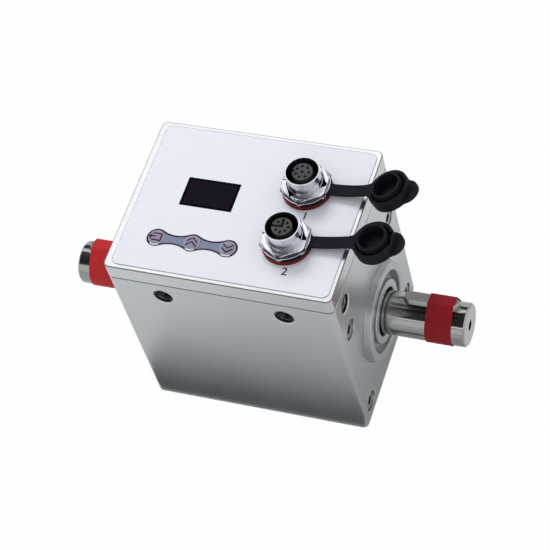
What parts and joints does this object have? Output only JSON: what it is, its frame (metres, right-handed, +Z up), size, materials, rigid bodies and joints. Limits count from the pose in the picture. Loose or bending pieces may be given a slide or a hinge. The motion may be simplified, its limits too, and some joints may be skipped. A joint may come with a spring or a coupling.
{
  "type": "rotary torque sensor",
  "caption": "Block-shaped torque sensor with a keyed shaft through it, a panel with display, push buttons and round connectors, and rubber sealing caps on straps",
  "frame": {"origin": "middle of the base face", "axes": "X along the shaft, Y across it towards the back, Z up out of the panel"},
  "size_m": [0.188, 0.08, 0.1188],
  "materials": {
    "aluminium": "machined block with a satin anodised face",
    "cover_aluminium": "bright satin aluminium",
    "gasket": "thin black sheet gasket",
    "label": "printed film, pale lavender white",
    "display": "dark filter window",
    "module": "black moulding",
    "keypad": "slate film keypad with domed buttons",
    "board": "green laminate",
    "fastener": "bright zinc steel screws",
    "brass": "turned brass",
    "chrome": "bright plated",
    "insert": "grey moulded insert",
    "seal": "red silicone ring",
    "cap": "black moulded rubber",
    "steel": "ground and turned shaft",
    "key_steel": "dark steel",
    "tape": "red tape",
    "gauge": "foil gauge patches",
    "winding": "wound coil",
    "stator": "potted coil",
    "lead": "insulated lead",
    "bearing_steel": "ground bearing steel"
  },
  "bodies": {
    "housing": {"housing_body": "aluminium", "cover_gasket": "gasket", "top_cover": "cover_aluminium", "cover_screws": "fastener", "panel_label": "label", "display_window": "display", "display_module": "module", "keypad_frame": "keypad", "main_board": "board", "board_spacers": "brass", "board_screws": "fastener", "key_switches": "module", "connector_1_shell": "chrome", "connector_1_nut": "chrome", "connector_1_insert": "insert", "connector_1_contacts": "brass", "connector_1_seal": "seal", "connector_1_cap": "cap", "connector_2_shell": "chrome", "connector_2_nut": "chrome", "connector_2_insert": "insert", "connector_2_contacts": "brass", "connector_2_seal": "seal", "connector_2_cap": "cap", "bearing_carrier_left": "aluminium", "bearing_carrier_right": "aluminium", "bearing_cover_left": "aluminium", "bearing_cover_right": "aluminium", "end_screws_left": "key_steel", "end_screws_right": "key_steel", "stator_coil_left": "stator", "stator_coil_right": "stator", "coil_leads": "lead", "bearing_left_outer_ring": "bearing_steel", "bearing_left_shields": "bearing_steel", "bearing_right_outer_ring": "bearing_steel", "bearing_right_shields": "bearing_steel"},
    "shaft": {"torsion_shaft": "steel", "strain_gauges": "gauge", "rotor_coil_left": "winding", "rotor_coil_right": "winding", "rotor_board": "board", "shaft_key_left": "key_steel", "shaft_key_right": "key_steel", "key_tape_left": "tape", "key_tape_right": "tape", "bearing_left_inner_ring": "bearing_steel", "bearing_right_inner_ring": "bearing_steel"},
    "cage_left": {"bearing_left_balls": "bearing_steel", "bearing_left_cage": "brass"},
    "cage_right": {"bearing_right_balls": "bearing_steel", "bearing_right_cage": "brass"},
    "button_enter": {"button_enter": "keypad"},
    "button_up": {"button_up": "keypad"},
    "button_down": {"button_down": "keypad"}
  },
  "joints": [
    {"name": "shaft_spin", "type": "hinge", "parent": "housing", "child": "shaft", "pos_m": [0, 0, 0.0385], "axis": [1, 0, 0], "continuous": true},
    {"name": "cage_left_spin", "type": "hinge", "parent": "housing", "child": "cage_left", "pos_m": [0, 0, 0.0385], "axis": [1, 0, 0], "continuous": true},
    {"name": "cage_right_spin", "type": "hinge", "parent": "housing", "child": "cage_right", "pos_m": [0, 0, 0.0385], "axis": [1, 0, 0], "continuous": true},
    {"name": "button_enter_press", "type": "slide", "parent": "housing", "child": "button_enter", "axis": [0, 0, -1], "range_m": [0, 0.0004], "stiffness_N_per_m": 1500},
    {"name": "button_up_press", "type": "slide", "parent": "housing", "child": "button_up", "axis": [0, 0, -1], "range_m": [0, 0.0004], "stiffness_N_per_m": 1500},
    {"name": "button_down_press", "type": "slide", "parent": "housing", "child": "button_down", "axis": [0, 0, -1], "range_m": [0, 0.0004], "stiffness_N_per_m": 1500}
  ],
  "couplings": [
    {"joint": "cage_left_spin", "follows": "shaft_spin", "ratio": 0.4165},
    {"joint": "cage_right_spin", "follows": "shaft_spin", "ratio": 0.4165}
  ]
}
